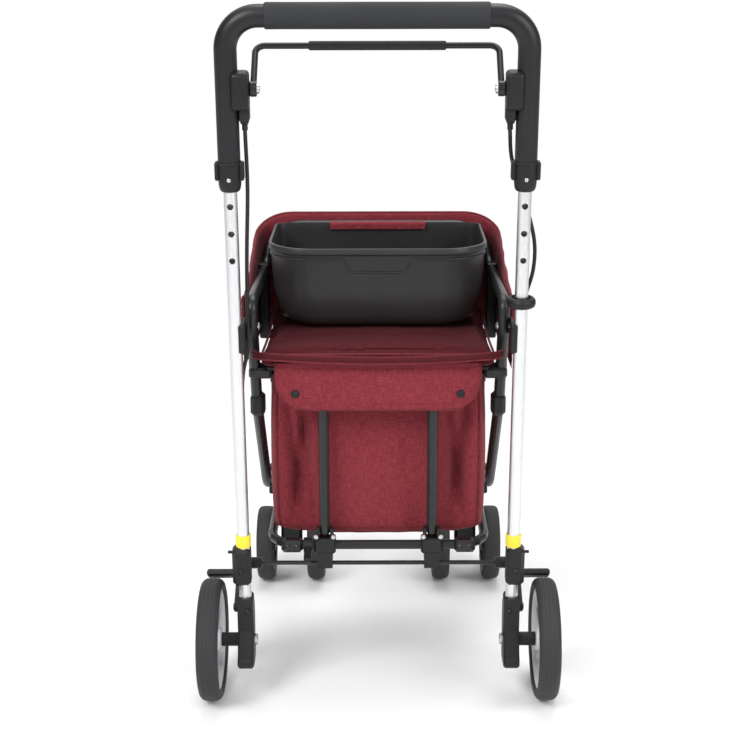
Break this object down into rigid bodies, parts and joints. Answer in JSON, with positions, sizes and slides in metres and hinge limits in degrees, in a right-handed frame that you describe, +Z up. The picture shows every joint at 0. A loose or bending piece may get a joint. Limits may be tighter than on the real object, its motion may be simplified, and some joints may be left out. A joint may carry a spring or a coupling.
{
  "type": "shopping rollator",
  "caption": "Folding walking aid on wheels with a push handle and squeeze brakes, a padded seat over a hanging shopping bag, a lift-out tray and swivelling front casters.",
  "frame": {"origin": "centre of the outer box's underside, on the floor under the wheels", "axes": "+Z up, +Y forward in the walking direction, +X to the user's right"},
  "size_m": [0.4916, 0.548, 0.9483],
  "materials": {
    "aluminium": "satin",
    "black_paint": "semi-gloss",
    "black_plastic": "fine texture",
    "foam": "matt foam",
    "rubber": "matt",
    "cable_rubber": "satin",
    "rim_plastic": "satin",
    "steel": "plated",
    "yellow_plastic": "satin",
    "red_fabric": "quilted",
    "tray_plastic": "satin"
  },
  "bodies": {
    "rear_frame": {"leg_left": "aluminium", "leg_right": "aluminium", "hinge_plate_left": "black_plastic", "hinge_plate_right": "black_plastic", "leg_bracket_left": "black_plastic", "leg_bracket_right": "black_plastic", "cable_collar_left": "yellow_plastic", "cable_collar_right": "yellow_plastic", "cable_ring": "black_plastic", "wheel_bracket_left": "black_plastic", "wheel_bracket_right": "black_plastic", "rear_axle_left": "steel", "rear_axle_right": "steel", "cross_rod": "black_paint", "brake_cable_left": "cable_rubber", "brake_cable_right": "cable_rubber"},
    "handle": {"handle_tube": "black_paint", "handle_grip": "foam", "handle_collar_left": "black_plastic", "handle_collar_right": "black_plastic", "brake_housing_left": "black_plastic", "brake_housing_right": "black_plastic"},
    "brake_lever": {"brake_bar": "black_paint", "brake_sleeve": "foam"},
    "front_frame": {"backrest_hoop": "black_paint", "front_leg_left": "black_paint", "front_leg_right": "black_paint", "frame_knuckle_left": "black_plastic", "frame_knuckle_right": "black_plastic", "front_cross_tube": "black_paint", "caster_housing_left": "black_plastic", "caster_housing_right": "black_plastic", "bag_rail": "black_paint", "seat_board": "black_plastic", "seat_pad": "red_fabric", "backrest_hood": "red_fabric", "bag": "red_fabric"},
    "bag_carrier": {"base_tube": "black_paint", "stay_clevis_left": "black_plastic", "stay_clevis_right": "black_plastic"},
    "lever": {"release_lever": "black_plastic"},
    "tray": {"tray": "tray_plastic", "tray_strap": "red_fabric"},
    "flap": {"pocket_flap": "red_fabric"},
    "button_left": {"snap_button_left": "steel"},
    "brake_arm_left": {"brake_arm_left": "black_plastic"},
    "rear_wheel_left": {"rear_tyre_left": "rubber", "rear_rim_left": "rim_plastic"},
    "button_right": {"snap_button_right": "steel"},
    "brake_arm_right": {"brake_arm_right": "black_plastic"},
    "rear_wheel_right": {"rear_tyre_right": "rubber", "rear_rim_right": "rim_plastic"},
    "stay_left": {"bag_stay_left": "black_paint"},
    "caster_left": {"caster_fork_left": "black_plastic"},
    "caster_wheel_left_outer": {"caster_wheel_left_outer": "rubber"},
    "caster_wheel_left_inner": {"caster_wheel_left_inner": "rubber"},
    "stay_right": {"bag_stay_right": "black_paint"},
    "caster_right": {"caster_fork_right": "black_plastic"},
    "caster_wheel_right_outer": {"caster_wheel_right_outer": "rubber"},
    "caster_wheel_right_inner": {"caster_wheel_right_inner": "rubber"}
  },
  "joints": [
    {"name": "handle_height", "type": "slide", "parent": "rear_frame", "child": "handle", "axis": [0, -0.0785, 0.9969], "range_m": [-0.105, 0], "deforming": ["brake_cable_left", "brake_cable_right"]},
    {"name": "brake_squeeze", "type": "hinge", "parent": "handle", "child": "brake_lever", "pos_m": [0, -0.24488, 0.84504], "axis": [1, 0, 0], "range_deg": [0, 20], "stiffness_Nm_per_rad": 1.5},
    {"name": "button_left", "type": "slide", "parent": "handle", "child": "button_left", "axis": [0, -0.9969, -0.0785], "range_m": [0, 0.004], "stiffness_N_per_m": 600},
    {"name": "brake_pad_left", "type": "hinge", "parent": "rear_frame", "child": "brake_arm_left", "pos_m": [-0.19715, -0.18099, 0.12884], "axis": [1, 0, 0], "range_deg": [-7, 0], "stiffness_Nm_per_rad": 0.6},
    {"name": "rear_wheel_left", "type": "hinge", "parent": "rear_frame", "child": "rear_wheel_left", "pos_m": [-0.2308, -0.19, 0.084], "axis": [1, 0, 0], "continuous": true},
    {"name": "button_right", "type": "slide", "parent": "handle", "child": "button_right", "axis": [0, -0.9969, -0.0785], "range_m": [0, 0.004], "stiffness_N_per_m": 600},
    {"name": "brake_pad_right", "type": "hinge", "parent": "rear_frame", "child": "brake_arm_right", "pos_m": [0.19715, -0.18099, 0.12884], "axis": [1, 0, 0], "range_deg": [-7, 0], "stiffness_Nm_per_rad": 0.6},
    {"name": "rear_wheel_right", "type": "hinge", "parent": "rear_frame", "child": "rear_wheel_right", "pos_m": [0.2308, -0.19, 0.084], "axis": [1, 0, 0], "continuous": true},
    {"name": "front_fold", "type": "hinge", "parent": "rear_frame", "child": "front_frame", "pos_m": [0, -0.1776, 0.53], "axis": [1, 0, 0], "range_deg": [-26, 0], "deforming": ["bag"]},
    {"name": "carrier_fold", "type": "hinge", "parent": "front_frame", "child": "bag_carrier", "pos_m": [0, 0.095, 0.217], "axis": [1, 0, 0], "range_deg": [-55.01, 0]},
    {"name": "stay_fold_left", "type": "hinge", "parent": "bag_carrier", "child": "stay_left", "pos_m": [-0.0735, -0.17, 0.237], "axis": [1, 0, 0], "range_deg": [-90, 0]},
    {"name": "caster_swivel_left", "type": "hinge", "parent": "front_frame", "child": "caster_left", "pos_m": [-0.143, 0.24, 0.15], "axis": [0, 0, 1], "continuous": true},
    {"name": "caster_wheel_left_outer", "type": "hinge", "parent": "caster_left", "child": "caster_wheel_left_outer", "pos_m": [-0.184, 0.214, 0.06], "axis": [1, 0, 0], "continuous": true},
    {"name": "caster_wheel_left_inner", "type": "hinge", "parent": "caster_left", "child": "caster_wheel_left_inner", "pos_m": [-0.102, 0.214, 0.06], "axis": [1, 0, 0], "continuous": true},
    {"name": "stay_fold_right", "type": "hinge", "parent": "bag_carrier", "child": "stay_right", "pos_m": [0.0735, -0.17, 0.237], "axis": [1, 0, 0], "range_deg": [-90, 0]},
    {"name": "caster_swivel_right", "type": "hinge", "parent": "front_frame", "child": "caster_right", "pos_m": [0.143, 0.24, 0.15], "axis": [0, 0, 1], "continuous": true},
    {"name": "caster_wheel_right_outer", "type": "hinge", "parent": "caster_right", "child": "caster_wheel_right_outer", "pos_m": [0.184, 0.214, 0.06], "axis": [1, 0, 0], "continuous": true},
    {"name": "caster_wheel_right_inner", "type": "hinge", "parent": "caster_right", "child": "caster_wheel_right_inner", "pos_m": [0.102, 0.214, 0.06], "axis": [1, 0, 0], "continuous": true},
    {"name": "release_lever", "type": "hinge", "parent": "bag_carrier", "child": "lever", "pos_m": [-0.097, -0.17, 0.217], "axis": [1, 0, 0], "range_deg": [0, 25], "stiffness_Nm_per_rad": 0.3},
    {"name": "tray_lift", "type": "slide", "parent": "front_frame", "child": "tray", "axis": [0, 0, 1], "range_m": [0, 0.14]},
    {"name": "flap_lift", "type": "hinge", "parent": "front_frame", "child": "flap", "pos_m": [0, -0.184, 0.478], "axis": [1, 0, 0], "range_deg": [-150, 0]}
  ],
  "couplings": [
    {"joint": "brake_pad_left", "follows": "brake_squeeze", "ratio": -0.35},
    {"joint": "brake_pad_right", "follows": "brake_squeeze", "ratio": -0.35},
    {"joint": "carrier_fold", "follows": "front_fold", "ratio": 2.1154},
    {"joint": "stay_fold_left", "follows": "front_fold", "ratio": 3.4615},
    {"joint": "stay_fold_right", "follows": "front_fold", "ratio": 3.4615}
  ]
}
